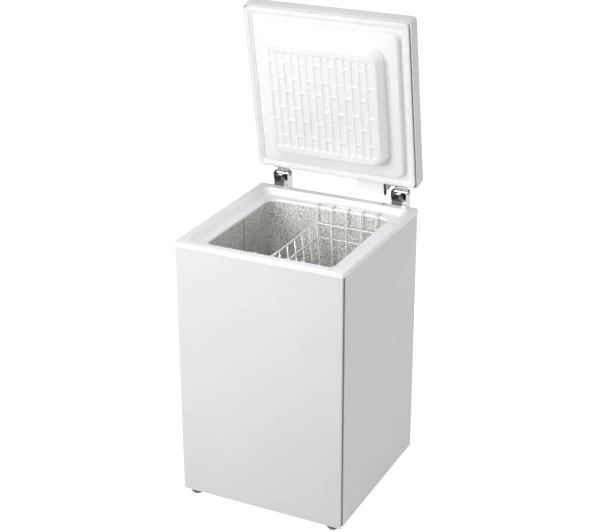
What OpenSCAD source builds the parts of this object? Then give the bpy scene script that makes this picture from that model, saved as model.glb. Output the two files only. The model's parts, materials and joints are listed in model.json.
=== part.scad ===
// Small chest freezer, standing on the floor with its lid open.
// Origin: on the floor, in the middle of the overall width and depth. +Z is up, the front faces -Y.

/* [Cabinet] */
// Width of the collar, the widest part of the cabinet
cabinet_w = 527; // [500:1:600]
// Depth of the collar, from front to back
cabinet_d = 540; // [520:1:600]
// Height of the collar's top above the floor
rim_z = 825; // [780:1:900]
// Thickness of the insulated wall, from the collar's outside to the liner's inside
wall = 64; // [60:1:70]
// Height of the feet
foot_h = 18; // [12:1:30]
// How far the collar stands proud of the painted panels
collar_overhang = 3; // [2:0.5:5]
// Thickness of the painted sheet steel
sheet_t = 1.2; // [0.8:0.1:1.5]

/* [Collar] */
// Height of the collar's outer lip
lip_h = 15; // [13:1:18]
// Width of the collar's flat top
rim_flat = 28; // [24:1:32]
// Depth of the recess that the lid's step drops into
recess_h = 20; // [18:1:24]
// How far the recess narrows from its top to its ledge
recess_slope = 12; // [8:1:14]

/* [Lid] */
// Depth of the lid, from front to back
lid_d = 530; // [515:1:590]
// Thickness of the lid at its edge
lid_t = 46; // [40:1:55]
// Gap between the collar and the closed lid, filled by the gasket
lid_gap = 9; // [8:0.5:12]
// Height of the step on the inside of the lid
step_h = 18; // [14:1:20]
// Height of the plug on the inside of the lid, above the step
plug_h = 40; // [30:1:42]
// Angle between the open lid and the closed one
open_angle = 80; // [60:1:88]

/* [Basket] */
// Width of the wire basket
basket_w = 206; // [150:1:220]
// Height of the wire basket, without its hooks
basket_h = 200; // [140:1:240]
// How far the long sides of the basket lean in, from top to bottom
basket_lean = 20; // [0:1:30]
// Distance between neighbouring wires
wire_pitch = 50; // [40:1:60]
// Diameter of the frame wire
wire_d = 5; // [4:0.5:6]

/* [Compressor space] */
// Depth of the compressor space, from the back of the cabinet
chamber_d = 170; // [165:1:190]
// Height of the compressor space
chamber_h = 240; // [230:1:280]
// Thickness of the insulation around the compressor space
chamber_wall = 40; // [35:1:50]

/* [Hidden] */
$fn = 48;

// Smallest gap left between pieces that only lie side by side
gap = 0.2;
// Overshoot of a cut past the face that it goes through
eps = 1;

// Places of the cabinet
half_w = cabinet_w / 2;
half_d = cabinet_d / 2;
rear_reach = 35;
cabinet_y = -rear_reach / 2;
shell_w = cabinet_w - 2 * collar_overhang;
shell_d = cabinet_d - 2 * collar_overhang;
shell_z = foot_h;
shell_top = rim_z - lip_h;
// Width of the fold at the rear edge of each side sheet
rear_fold = 14;
liner_w = cabinet_w - 2 * wall;
liner_d = cabinet_d - 2 * wall;
liner_r = 30;
liner_t = 1;
liner_top = rim_z - recess_h - 8;
floor_z = foot_h + 77;
chamber_y = half_d - chamber_d;
chamber_top = foot_h + 4 + chamber_h;
step_y = chamber_y - chamber_wall;
step_z = chamber_top + chamber_wall;

// Places of the lid when it is closed
lid_w = cabinet_w;
lid_front = -half_d - 2;
lid_rear = lid_front + lid_d;
lid_y = (lid_front + lid_rear) / 2;
lid_z = rim_z + lid_gap;
lid_top = lid_z + lid_t;
lid_r = 12;
step_inset = 35;
step_draft = 4;
plug_inset = 80;
plug_draft = 8;
plug_r = 34;
edge_chamfer = 6;
return_w = 5;
gasket_w = 20;

// Places of the hinges
hinge_x = 197;
pivot_y = half_d + 21;
pivot_z = lid_z + 26;
housing_w = 50;
housing_t = 1.6;
housing_front = half_d + 0.8;
housing_rear = half_d + 34;
housing_top = pivot_z + 6;
housing_bottom = rim_z - 168;
pin_r = 4;
running_gap = 0.05;
barrel_r = 7;
bracket_w = 42;
cam_w = 14;
nose_r = 4;
// Travel of the plunger for each radian that the lid turns, in millimetres
cam_rise = 10;
pitch_open = barrel_r + nose_r + 1.5;
nose_z = pivot_z - pitch_open - 0.3;
plunger_bottom = nose_z - 46;
seat_z = housing_bottom + 30;

// Places of the basket
basket_x = 61;
basket_d = 396;
basket_y = -2;
hook_reach = 28;
ledge_z = rim_z - recess_h;
basket_top = ledge_z - 48;
basket_bottom = basket_top - basket_h;
middle_wire_d = 4.2;
thin_wire_d = 3.4;

// Places of the control, the gland and the drain
grille_top = chamber_top + 12;
grille_y = shell_d / 2 + gap;
knob_x = -190;
knob_z = 190;
gland_x = 205;
gland_z = 60;
drain_x = -120;
drain_y = -120;
drain_r = 11;
foot_inset_x = 37;
foot_inset_y = 26;
foot_r = 22;

module at_cabinet() {
    translate([0, cabinet_y, 0]) children();
}

// Turns a piece of the closed lid about the hinge pin, to where it stands open
module at_open_lid() {
    at_cabinet()
        translate([0, pivot_y, pivot_z])
            rotate([-open_angle, 0, 0])
                translate([0, -pivot_y, -pivot_z])
                    children();
}

module rounded_rect(w, d, r) {
    square([w - 2 * r, d], center = true);
    square([w, d - 2 * r], center = true);
    for (x = [-1, 1], y = [-1, 1])
        translate([x * (w / 2 - r), y * (d / 2 - r)])
            circle(r);
}

module rounded_block(w, d, r, z0, z1) {
    translate([0, 0, z0])
        linear_extrude(z1 - z0)
            rounded_rect(w, d, r);
}

module box_between(a, b) {
    translate(a) cube(b - a);
}

// A straight round bar from point a to point b
module bar(a, b, r) {
    v = b - a;
    len = norm(v);
    translate(a)
        rotate([0, acos(v[2] / len), atan2(v[1], v[0])])
            cylinder(h = len, r = r);
}

// A chain of bars with ball corners, a little thicker than the bars so that they never just touch
module rod(points, r) {
    ball_r = 1.03 * r;
    for (i = [0 : len(points) - 2])
        bar(points[i], points[i + 1], r);
    for (i = [1 : len(points) - 2])
        translate(points[i]) sphere(ball_r);
}

// A pan-head screw whose head stands on the plane z = 0
module screw(head_r = 4.5, shank_r = 2, length = 9) {
    head_h = 2.4;
    recess_d = 1.2;
    difference() {
        cylinder(h = head_h, r = head_r);
        for (turn = [0, 90])
            rotate([0, 0, turn])
                translate([-2.5, -0.5, head_h - recess_d])
                    cube([5, 1, recess_d + eps]);
    }
    translate([0, 0, -length]) cylinder(h = length, r = shank_r);
}

// Cabinet panels

// Plan of the folded front sheet: a face, two short returns and a joggle behind each corner
module front_plan() {
    corner_r = 3;
    return_d = 4.5;
    joggle = 4;
    tail = 26;
    x = shell_w / 2;
    y = -shell_d / 2;
    translate([-x + corner_r, y]) square([2 * (x - corner_r), sheet_t]);
    for (s = [-1, 1]) {
        translate([s * (x - corner_r), y + corner_r])
            intersection() {
                difference() {
                    circle(corner_r);
                    circle(corner_r - sheet_t);
                }
                translate([s > 0 ? 0 : -corner_r, -corner_r]) square(corner_r);
            }
        translate([s > 0 ? x - sheet_t : -x, y + corner_r]) square([sheet_t, return_d - corner_r]);
        translate([s > 0 ? x - joggle : -x, y + return_d - sheet_t]) square([joggle, sheet_t]);
        tail_x = s > 0 ? x - joggle - sheet_t : -x + joggle;
        translate([tail_x, y + return_d - sheet_t]) square([sheet_t, tail]);
    }
}

module front_panel() {
    color("whitesmoke") at_cabinet()
        translate([0, 0, shell_z])
            linear_extrude(shell_top - shell_z)
                front_plan();
}

// A side sheet whose front edge turns in behind the groove beside the front panel
module side_panel(s) {
    groove = 16;
    turn_in = 3.6;
    x = shell_w / 2;
    y0 = -shell_d / 2 + groove;
    y1 = shell_d / 2;
    color("gainsboro") at_cabinet()
        mirror([s > 0 ? 0 : 1, 0, 0]) {
            box_between([x - sheet_t, y0, shell_z], [x, y1, shell_top]);
            box_between([x - turn_in, y0, shell_z], [x - sheet_t, y0 + sheet_t, shell_top]);
            box_between([x - rear_fold, y1 - sheet_t, shell_z], [x - sheet_t, y1, shell_top]);
        }
}

module left_panel() {
    side_panel(-1);
}

module right_panel() {
    side_panel(1);
}

module rear_panel() {
    x = shell_w / 2 - rear_fold - gap;
    y = shell_d / 2;
    color("silver") at_cabinet()
        difference() {
            box_between([-x, y - sheet_t, chamber_top], [x, y, shell_top]);
            for (s = [-1, 1], z = screw_heights(), side = [-1, 1])
                translate([s * hinge_x + side * (housing_w / 2 + 8), y + eps, z])
                    rotate([90, 0, 0]) cylinder(h = sheet_t + 2 * eps, r = 2);
        }
}

// Pressed tray under the cabinet, with the compressor's shelf at the back
module base_plate() {
    x = shell_w / 2 - 6;
    y = shell_d / 2 - 6;
    color("gray") at_cabinet() {
        difference() {
            box_between([-x, -y, foot_h], [x, y, foot_h + 3]);
            for (px = [-1, 1], py = [-1, 1])
                translate([px * (half_w - foot_inset_x), py * (half_d - foot_inset_y), foot_h - eps])
                    cylinder(h = 6, r = 4);
            translate([drain_x, drain_y, foot_h - eps]) cylinder(h = 6, r = drain_r + 4);
        }
    }
}

// Folded sheet between the insulation and the compressor space: its front wall and its roof
module chamber_plate() {
    x = shell_w / 2 - 6;
    y = chamber_y + gap;
    top = chamber_top - 2 * gap;
    color("darkgray") at_cabinet() {
        box_between([-x, y, foot_h + 3 + gap], [x, y + sheet_t, top]);
        box_between([-x, y, top - sheet_t], [x, half_d - 6, top]);
    }
}

// Stepped frame round the opening
module collar() {
    ledge_inset = rim_flat + recess_slope;
    color("white") at_cabinet()
        difference() {
            union() {
                rounded_block(cabinet_w, cabinet_d, 6, rim_z - lip_h, rim_z);
                rounded_block(shell_w - 12, shell_d - 12, 6, liner_top, rim_z - lip_h + eps);
            }
            hull() {
                rounded_block(
                    cabinet_w - 2 * rim_flat, cabinet_d - 2 * rim_flat, 26,
                    rim_z, rim_z + eps, $fn = 32
                );
                rounded_block(
                    cabinet_w - 2 * ledge_inset, cabinet_d - 2 * ledge_inset, 24,
                    ledge_z, ledge_z + 0.01, $fn = 32
                );
            }
            rounded_block(liner_w, liner_d, liner_r, liner_top - eps, rim_z);
            translate([155, half_d - 12, rim_z - 6]) cylinder(h = 6 + eps, r = 2.5);
        }
}

// The inside of the liner grown by t: a deep well in front and a shallow one above the compressor space
module liner_form(t, top) {
    difference() {
        rounded_block(liner_w + 2 * t, liner_d + 2 * t, liner_r + t, floor_z - t, top);
        box_between([-half_w, step_y + t, 0], [half_w, half_d, step_z - t]);
    }
}

module liner() {
    color("lightgray") at_cabinet()
        difference() {
            liner_form(liner_t, liner_top - gap);
            liner_form(0, liner_top + eps);
            translate([drain_x, drain_y, floor_z - 5]) cylinder(h = 10, r = drain_r + 0.4);
        }
}

// Square-cornered space that holds the liner, with a clearance t on every side
module liner_space(t) {
    x = liner_w / 2 + t;
    y = liner_d / 2 + t;
    box_between([-x, -y, step_z - t], [x, y, liner_top + eps]);
    box_between([-x, -y, floor_z - t], [x, step_y + t, step_z]);
}

module foam() {
    inset = sheet_t + 4.4;
    color("khaki") at_cabinet()
        difference() {
            box_between(
                [-shell_w / 2 + inset, -shell_d / 2 + sheet_t + gap, foot_h + 3 + gap],
                [shell_w / 2 - inset, shell_d / 2 - sheet_t - gap, liner_top - gap]
            );
            liner_space(liner_t + gap);
            box_between([-half_w, chamber_y, 0], [half_w, half_d, chamber_top - gap]);
            translate([drain_x, drain_y, 0]) cylinder(h = floor_z + eps, r = drain_r + 2);
        }
}

// Refrigerating parts

// Tube that goes round the liner level by level and turns back at the middle of the front
module evaporator_tube() {
    tube_r = 4;
    levels = 7;
    pitch = 62;
    r = 24;
    reach = 20;
    x = liner_w / 2 + liner_t + tube_r + 0.6;
    y = liner_d / 2 + liner_t + tube_r + 0.6;
    color("darkgoldenrod") at_cabinet()
        for (i = [0 : levels - 1]) {
            z = step_z + 30 + i * pitch;
            s = i % 2 == 0 ? 1 : -1;
            bar([-x + r, y, z], [x - r, y, z], tube_r);
            for (side = [-1, 1]) {
                bar([side * x, -y + r, z], [side * x, y - r, z], tube_r);
                bar([side * reach, -y, z], [side * (x - r), -y, z], tube_r);
                for (end = [-1, 1])
                    translate([side * (x - r), end * (y - r), z])
                        mirror([side > 0 ? 0 : 1, 0, 0])
                            rotate([0, 0, end > 0 ? 0 : 270])
                                rotate_extrude(angle = 90) translate([r, 0]) circle(tube_r, $fn = 24);
            }
            if (i < levels - 1)
                rod([
                    [s * (reach + 1), -y, z], [s * reach, -y, z],
                    [s * reach, -y, z + pitch], [s * (reach + 1), -y, z + pitch]
                ], tube_r);
        }
}

// Tube loops that run behind the left, front and right panels and back
module condenser_tube() {
    tube_r = 2.4;
    levels = 8;
    pitch = 60;
    x = shell_w / 2 - 12;
    y = shell_d / 2 - 12;
    r = 20;
    color("peru") at_cabinet()
        for (i = [0 : levels - 1]) {
            z = step_z + i * pitch;
            s = i % 2 == 0 ? 1 : -1;
            for (side = [-1, 1])
                bar([side * x, -y + r, z], [side * x, y - 30, z], tube_r);
            bar([-x + r, -y, z], [x - r, -y, z], tube_r);
            for (c = [[-1, 180], [1, 270]])
                translate([c[0] * (x - r), -y + r, z])
                    rotate([0, 0, c[1]])
                        rotate_extrude(angle = 90) translate([r, 0]) circle(tube_r, $fn = 24);
            if (i < levels - 1)
                rod([
                    [s * x, y - 31, z], [s * x, y - 30, z],
                    [s * x, y - 30, z + pitch], [s * x, y - 31, z + pitch]
                ], tube_r);
        }
}

compressor_x = -40;
compressor_y = half_d - 88;
compressor_z = foot_h + 22;
compressor_r = 68;
mount_x = 82;
mount_y = 52;

// Hermetic shell on its four-footed base
module compressor() {
    h = 160;
    seam_z = 84;
    color("black") at_cabinet()
        translate([compressor_x, compressor_y, compressor_z]) {
            rotate_extrude()
                polygon([
                    [0, 0], [compressor_r - 22, 0], [compressor_r - 6, 10], [compressor_r, 30],
                    [compressor_r, seam_z], [compressor_r + 4, seam_z], [compressor_r + 4, seam_z + 6],
                    [compressor_r - 1, seam_z + 6], [compressor_r - 4, h - 30], [compressor_r - 24, h - 6],
                    [compressor_r - 46, h], [0, h]
                ]);
            difference() {
                translate([0, 0, -1]) cube([2 * mount_x + 24, 2 * mount_y + 20, 3], center = true);
                for (x = [-1, 1], y = [-1, 1])
                    translate([x * mount_x, y * mount_y, -5]) cylinder(h = 10, r = 7);
            }
        }
}

module compressor_mounts() {
    color("dimgray") at_cabinet()
        for (x = [-1, 1], y = [-1, 1])
            translate([compressor_x + x * mount_x, compressor_y + y * mount_y, foot_h + 3 + gap]) {
                cylinder(h = compressor_z - foot_h - 6, r = 11);
                cylinder(h = compressor_z - foot_h - 1, r = 6.8);
                translate([0, 0, compressor_z - foot_h - 2]) cylinder(h = 4, r = 10);
            }
}

module relay_cover() {
    x0 = compressor_x + compressor_r + 4.5;
    color("black") at_cabinet()
        difference() {
            box_between(
                [x0, compressor_y - 26, compressor_z + 34],
                [x0 + 34, compressor_y + 26, compressor_z + 106]
            );
            box_between(
                [x0 - eps, compressor_y - 24, compressor_z + 36],
                [x0 + 32, compressor_y + 24, compressor_z + 104]
            );
        }
}

module filter_drier() {
    color("peru") at_cabinet()
        translate([150, compressor_y - 40, foot_h + 60])
            rotate_extrude()
                polygon([[0, 0], [2.6, 0], [2.6, 12], [9, 22], [9, 110], [2.6, 120], [2.6, 132], [0, 132]]);
}

module refrigerant_pipes() {
    top = compressor_z + 120;
    y = compressor_y - 40;
    color("peru") at_cabinet() {
        rod([[150, y, foot_h + 192.4], [150, y, 232], [100, y, 232], [100, y, chamber_top - 2]], 2.4);
        rod([[150, y, foot_h + 59.6], [150, y, 50], [190, y, 50], [190, y, chamber_top - 2]], 2.4);
        rod([[compressor_x, compressor_y + 69, top - 40], [compressor_x, compressor_y + 76, top - 40],
            [-145, compressor_y + 76, top - 40], [-145, compressor_y + 76, 240],
            [-145, compressor_y, 240], [-145, compressor_y, chamber_top - 2]], 3);
    }
}

// Cover over the compressor space, with rows of air slots
module compressor_grille() {
    x = shell_w / 2 - 4;
    y = grille_y;
    rows = 9;
    columns = 3;
    slot_w = 104;
    slot_h = 6;
    row_pitch = 20;
    column_pitch = slot_w + 14;
    cut_d = 24;
    color("dimgray") at_cabinet()
        difference() {
            union() {
                box_between([-x, y, foot_h + 6], [x, y + 2, grille_top]);
                box_between([-x + 14, y - 8, foot_h + 6], [x - 14, y + eps, foot_h + 8]);
            }
            for (i = [0 : rows - 1], j = [0 : columns - 1])
                translate([(j - 1) * column_pitch + 10, y, foot_h + 36 + i * row_pitch])
                    cube([slot_w, cut_d, slot_h], center = true);
            for (p = grille_screw_places())
                translate([p[0], y - eps, p[1]])
                    rotate([-90, 0, 0]) cylinder(h = 4 + eps, r = 2.2);
            translate([knob_x, y - eps, knob_z]) rotate([-90, 0, 0]) cylinder(h = 5, r = 6);
            translate([gland_x, y - eps, gland_z]) rotate([-90, 0, 0]) cylinder(h = 5, r = 8.2);
        }
}

function grille_screw_places() = [
    for (x = [-1, 1], z = [foot_h + 18, grille_top - 7]) [x * (shell_w / 2 - 10), z]
];

module grille_screws() {
    color("silver") at_cabinet()
        for (p = grille_screw_places())
            translate([p[0], grille_y + 2 + gap, p[1]])
                rotate([-90, 0, 0]) screw(length = 6);
}

module thermostat() {
    color("lightgray") at_cabinet()
        translate([knob_x, grille_y - gap, knob_z]) {
            translate([-20, -34, -24]) cube([40, 34, 48]);
            rotate([-90, 0, 0]) cylinder(h = 8, r = 3);
        }
}

// Control knob with a pointer rib across its face
module thermostat_knob() {
    color("white") at_cabinet()
        translate([knob_x, grille_y + 2.4, knob_z])
            rotate([-90, 0, 0])
                difference() {
                    union() {
                        cylinder(h = 6, r = 17);
                        cylinder(h = 12, r = 14);
                        translate([-2.5, -15.5, 0]) cube([5, 15.5, 15]);
                    }
                    translate([0, 0, -eps]) cylinder(h = 8.5 + eps, r = 3 + running_gap);
                }
}

module cable_gland() {
    color("black") at_cabinet()
        translate([gland_x, grille_y, gland_z])
            rotate([-90, 0, 0])
                difference() {
                    union() {
                        translate([0, 0, -6]) cylinder(h = 6 - gap, r = 11);
                        translate([0, 0, -2]) cylinder(h = 10, r = 8);
                        translate([0, 0, 2 + gap]) cylinder(h = 5, r = 11);
                    }
                    translate([0, 0, -6 - eps]) cylinder(h = 16 + 2 * eps, r = 4);
                }
}

// Drain through the floor insulation
module drain_tube() {
    color("white") at_cabinet()
        translate([drain_x, drain_y, 0])
            difference() {
                union() {
                    translate([0, 0, foot_h - 4]) cylinder(h = floor_z - foot_h + 4, r = drain_r);
                    translate([0, 0, floor_z + gap]) cylinder(h = 2, r = drain_r + 6);
                    translate([0, 0, floor_z - eps]) cylinder(h = 2 * eps, r = drain_r);
                }
                translate([0, 0, foot_h - 4 - eps]) cylinder(h = floor_z, r = drain_r - 2.5);
            }
}

module drain_plug() {
    bore_r = drain_r - 2.5;
    color("gainsboro") at_cabinet()
        translate([drain_x, drain_y, floor_z + 2 + 2 * gap]) {
            cylinder(h = 4, r = bore_r + 5);
            translate([0, 0, -14]) cylinder(h = 15, r = bore_r - 0.3);
            translate([-2, -8, 3]) cube([4, 16, 10]);
        }
}

// A foot under one corner: x and y are -1 or 1
module foot(x, y) {
    color("darkslategray") at_cabinet()
        translate([x * (half_w - foot_inset_x), y * (half_d - foot_inset_y), 0]) {
            cylinder(h = 4, r1 = foot_r - 8, r2 = foot_r - 5);
            translate([0, 0, 4]) cylinder(h = foot_h - 4 - gap, r1 = foot_r - 5, r2 = foot_r);
            translate([0, 0, foot_h - eps]) cylinder(h = 3 + eps, r = 3.8);
        }
}

// Hinges

function screw_heights() = [housing_bottom + 22, housing_bottom + 118];

// Channel on the back of the cabinet that holds the pin, the plunger and the spring
module hinge_housing(s) {
    x = housing_w / 2;
    t = housing_t;
    front = housing_front;
    rear = housing_rear;
    top = housing_top;
    low = housing_bottom;
    flange_y = shell_d / 2 + gap;
    flange_w = 16;
    // The channel narrows to pass behind the collar above this height
    neck_z = rim_z - lip_h - 6;
    color("silver") at_cabinet()
        translate([s * hinge_x, 0, 0])
            difference() {
                union() {
                    box_between([-x, rear - t, low], [x, rear, top]);
                    for (side = [-1, 1])
                        mirror([side > 0 ? 0 : 1, 0, 0]) {
                            lip_w = side > 0 ? 14 : 4;
                            box_between([x - t, flange_y, low], [x, rear, neck_z]);
                            box_between([x - t, front, neck_z - eps], [x, rear, top]);
                            box_between([x - lip_w, front, neck_z], [x, front + t, top - 22]);
                            box_between([x - t, flange_y, low], [x - t + flange_w, flange_y + t, neck_z]);
                        }
                    box_between([-x, flange_y, seat_z - 2], [x, rear, seat_z]);
                }
                translate([-x - eps, pivot_y, pivot_z])
                    rotate([0, 90, 0]) cylinder(h = housing_w + 2 * eps, r = pin_r + running_gap);
                for (z = screw_heights(), side = [-1, 1])
                    translate([side * (x + 8), flange_y - eps, z])
                        rotate([-90, 0, 0]) cylinder(h = 4, r = 2.2);
            }
}

module hinge_pin(s) {
    x = housing_w / 2;
    color("gray") at_cabinet()
        translate([s * hinge_x, pivot_y, pivot_z])
            rotate([0, 90, 0]) {
                translate([0, 0, -x - 1]) cylinder(h = housing_w + 2, r = pin_r);
                for (side = [-1, 1])
                    translate([0, 0, side * (x + 1.3)]) cylinder(h = 2, r = pin_r + 2.5, center = true);
            }
}

// Outline of the cam, seen along the hinge pin with the lid closed. The nose's centre follows a spiral that
// moves out by cam_rise for each radian, and the cam's face lies one nose radius inside that spiral.
function cam_pitch(a) = pitch_open + cam_rise * (a * PI / 180);
function cam_point(a) =
    let (
        slope = atan2(cam_rise, cam_pitch(a)),
        inward = cam_pitch(a) - nose_r * cos(slope),
        sideways = nose_r * sin(slope),
        face = norm([inward, sideways]),
        aim = a + atan2(sideways, inward)
    )
    // An angle of 0 points to the nose when the lid is open, open_angle when it is closed
    [face * sin(open_angle - aim), -face * cos(open_angle - aim)];

module cam_outline() {
    polygon(concat([[0, 0]], [for (a = [-6 : 4 : open_angle + 6]) cam_point(a)]));
}

// Rolled plate that joins the lid to the hinge pin, with the cam that works the plunger
module lid_bracket(s) {
    x = bracket_w / 2;
    leg_y = lid_rear + gap;
    leg_t = 2.4;
    plate_z = pivot_z + barrel_r - leg_t;
    gusset_t = 3;
    color("silver") at_open_lid()
        translate([s * hinge_x, 0, 0])
            difference() {
                union() {
                    translate([-x, pivot_y, pivot_z])
                        rotate([0, 90, 0]) cylinder(h = bracket_w, r = barrel_r);
                    box_between([-x, leg_y, plate_z], [x, pivot_y, plate_z + leg_t]);
                    box_between([-x, leg_y, lid_z + 2], [x, leg_y + leg_t, lid_top - 8]);
                    for (side = [-1, 1])
                        translate([side * (x - gusset_t / 2), leg_y + 1, plate_z + 1])
                            rotate([0, 90, 0])
                                linear_extrude(gusset_t, center = true)
                                    polygon([[0, 0], [18, 0], [0, 16]]);
                    translate([-cam_w / 2, pivot_y, pivot_z])
                        rotate([90, 0, 90])
                            linear_extrude(cam_w) cam_outline();
                }
                translate([-bracket_w, pivot_y, pivot_z])
                    rotate([0, 90, 0]) cylinder(h = 2 * bracket_w, r = pin_r + running_gap);
                for (p = bracket_screw_places())
                    translate([p[0], leg_y - eps, p[1]])
                        rotate([-90, 0, 0]) cylinder(h = leg_t + 2 * eps, r = 2.2);
            }
}

module hinge_plunger(s) {
    x = housing_w / 2 - housing_t - 0.6;
    y0 = housing_front + housing_t + 1.2;
    y1 = housing_rear - housing_t - 0.6;
    color("dimgray") at_cabinet()
        translate([s * hinge_x, 0, 0]) {
            difference() {
                box_between([-x, y0, plunger_bottom], [x, y1, nose_z - 14]);
                translate([0, pivot_y - 4, plunger_bottom - eps]) cylinder(h = 20, r = 4.5);
            }
            box_between([-cam_w / 2, pivot_y - nose_r, nose_z - 15], [cam_w / 2, pivot_y + nose_r, nose_z]);
            translate([-cam_w / 2, pivot_y, nose_z]) rotate([0, 90, 0]) cylinder(h = cam_w, r = nose_r);
        }
}

// Compression spring from its seat to the underside of the plunger
module hinge_spring(s) {
    turns = 12;
    steps = 12;
    sides = 6;
    coil_r = 9;
    wire_r = 1.4;
    h = plunger_bottom - seat_z - 2 * wire_r - 2 * gap;
    last = turns * steps;
    points = [
        for (i = [0 : last], j = [0 : sides - 1])
            let (a = 360 * i / steps, b = 360 * j / sides, r = coil_r + wire_r * cos(b))
            [r * cos(a), r * sin(a), h * i / last + wire_r * sin(b)]
    ];
    faces = concat(
        [[for (j = [0 : sides - 1]) j]],
        [for (i = [0 : last - 1], j = [0 : sides - 1])
            let (a = i * sides, b = a + sides, k = (j + 1) % sides)
            [a + j, b + j, b + k, a + k]],
        [[for (j = [sides - 1 : -1 : 0]) last * sides + j]]
    );
    color("gray") at_cabinet()
        translate([s * hinge_x, pivot_y - 4, seat_z + wire_r + gap])
            polyhedron(points, faces);
}

module housing_screws() {
    color("silver") at_cabinet()
        for (s = [-1, 1], z = screw_heights(), side = [-1, 1])
            translate([s * hinge_x + side * (housing_w / 2 + 8), shell_d / 2 + housing_t + 2 * gap, z])
                rotate([-90, 0, 0]) screw(shank_r = 1.9, length = 12);
}

function bracket_screw_places() = [for (x = [-13, 13]) [x, lid_z + 13]];

module bracket_screws() {
    color("silver") at_open_lid()
        for (s = [-1, 1], p = bracket_screw_places())
            translate([s * hinge_x + p[0], lid_rear + 2.4 + 2 * gap, p[1]])
                rotate([-90, 0, 0]) screw(shank_r = 1.9, length = 12);
}

// Lid, drawn closed

// Solid form of the lid's outside with a chamfer round its top
module lid_form(inset) {
    w = lid_w - 2 * inset;
    d = lid_d - 2 * inset;
    r = lid_r - inset;
    translate([0, lid_y, 0]) {
        rounded_block(w, d, r, lid_z + inset, lid_top - edge_chamfer);
        hull() {
            rounded_block(w, d, r, lid_top - edge_chamfer - 0.01, lid_top - edge_chamfer, $fn = 32);
            for (c = [[0.5, 2], [1, 0]]) {
                top = lid_top - inset - c[1];
                cut = 2 * c[0] * edge_chamfer;
                rounded_block(w - cut, d - cut, r, top - 0.01, top, $fn = 32);
            }
        }
    }
}

module lid_skin() {
    color("white") at_open_lid()
        difference() {
            lid_form(0);
            lid_form(sheet_t);
            translate([0, lid_y, 0])
                rounded_block(
                    lid_w - 2 * return_w, lid_d - 2 * return_w, lid_r - 4,
                    lid_z - eps, lid_z + 2 * sheet_t
                );
        }
}

// Step and plug on the inside of the lid, shrunk by t
module lid_inner_form(t) {
    step_w = lid_w - 2 * (step_inset + t);
    step_d = lid_d - 2 * (step_inset + t);
    plug_w = lid_w - 2 * (plug_inset + t);
    plug_d = lid_d - 2 * (plug_inset + t);
    translate([0, lid_y, 0]) {
        hull() {
            rounded_block(step_w, step_d, 24, lid_z + 4, lid_z + 4.01, $fn = 32);
            rounded_block(
                step_w - 2 * step_draft, step_d - 2 * step_draft, 24,
                lid_z - step_h + t, lid_z - step_h + t + 0.01, $fn = 32
            );
        }
        hull() {
            rounded_block(plug_w, plug_d, plug_r, lid_z - step_h, lid_z - step_h + 4, $fn = 32);
            rounded_block(
                plug_w - 2 * plug_draft, plug_d - 2 * plug_draft, plug_r,
                lid_z - step_h - plug_h + t, lid_z - step_h - plug_h + t + 0.01, $fn = 32
            );
        }
    }
}

module lid_liner() {
    t = 2;
    color("white") at_open_lid()
        difference() {
            union() {
                translate([0, lid_y, 0])
                    rounded_block(
                        lid_w - 2 * (return_w + gap), lid_d - 2 * (return_w + gap), lid_r - 4,
                        lid_z, lid_z + t
                    );
                intersection() {
                    lid_inner_form(0);
                    translate([0, lid_y, lid_z - 100 + 0.5]) cube([lid_w, lid_d, 200], center = true);
                }
            }
            lid_inner_form(t);
        }
}

module lid_foam() {
    t = 2 + gap;
    color("khaki") at_open_lid() {
        difference() {
            lid_form(sheet_t + gap);
            translate([0, lid_y, lid_z]) cube([lid_w + 1, lid_d + 1, 2 * t], center = true);
        }
        lid_inner_form(t);
    }
}

// Sealing strip round the inside of the lid
module lid_gasket() {
    w = lid_w - 2 * (return_w + 1);
    d = lid_d - 2 * (return_w + 1);
    h = lid_gap - 0.5;
    color("whitesmoke") at_open_lid()
        translate([0, lid_y, 0]) {
            difference() {
                rounded_block(w, d, 10, lid_z - 4, lid_z - gap);
                rounded_block(w - 2 * gasket_w, d - 2 * gasket_w, 8, lid_z - 4 - eps, lid_z);
            }
            difference() {
                rounded_block(w - 5, d - 5, 9, lid_z - h, lid_z - 4 + gap);
                rounded_block(w - 2 * gasket_w + 7, d - 2 * gasket_w + 7, 8, lid_z - h - eps, lid_z);
            }
        }
}

// White plate that stands out behind the lid, beside the right hinge
tab_x0 = 58;
tab_x1 = 150;
tab_len = 41;
tab_z = lid_z + 8;

module rear_tab() {
    y = lid_rear + gap;
    color("white") at_open_lid() {
        box_between([tab_x0, y, tab_z], [tab_x1, y + tab_len, tab_z + 3]);
        box_between([tab_x0, y, tab_z + 3 - eps], [tab_x1, y + 2.4, tab_z + 28]);
    }
}

module rear_tab_buffer() {
    y = lid_rear + gap;
    color("black") at_open_lid()
        box_between([tab_x1 + gap, y + 4, tab_z - 3], [tab_x1 + 5, y + tab_len, tab_z + 6]);
}

module rear_tab_gusset() {
    y = lid_rear + gap;
    w = hinge_x - bracket_w / 2 - gap - tab_x1 - 5 - gap;
    color("silver") at_open_lid()
        translate([tab_x1 + 5 + gap, y, tab_z])
            linear_extrude(2.5)
                polygon([[0, 0], [w, 0], [w, 5], [8, 24], [0, 24]]);
}

// Basket

// Half of the basket's width between wire centres, at height z
function basket_half(z) = (basket_w - wire_d) / 2 - basket_lean * (basket_top - z) / basket_h;

// Level ring of wire at height z
module basket_ring(z, y, r) {
    x = basket_half(z);
    for (s = [-1, 1]) {
        bar([-x, s * y, z], [x, s * y, z], r);
        bar([s * x, -y, z], [s * x, y, z], r);
        for (end = [-1, 1])
            translate([s * x, end * y, z]) sphere(r);
    }
}

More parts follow.
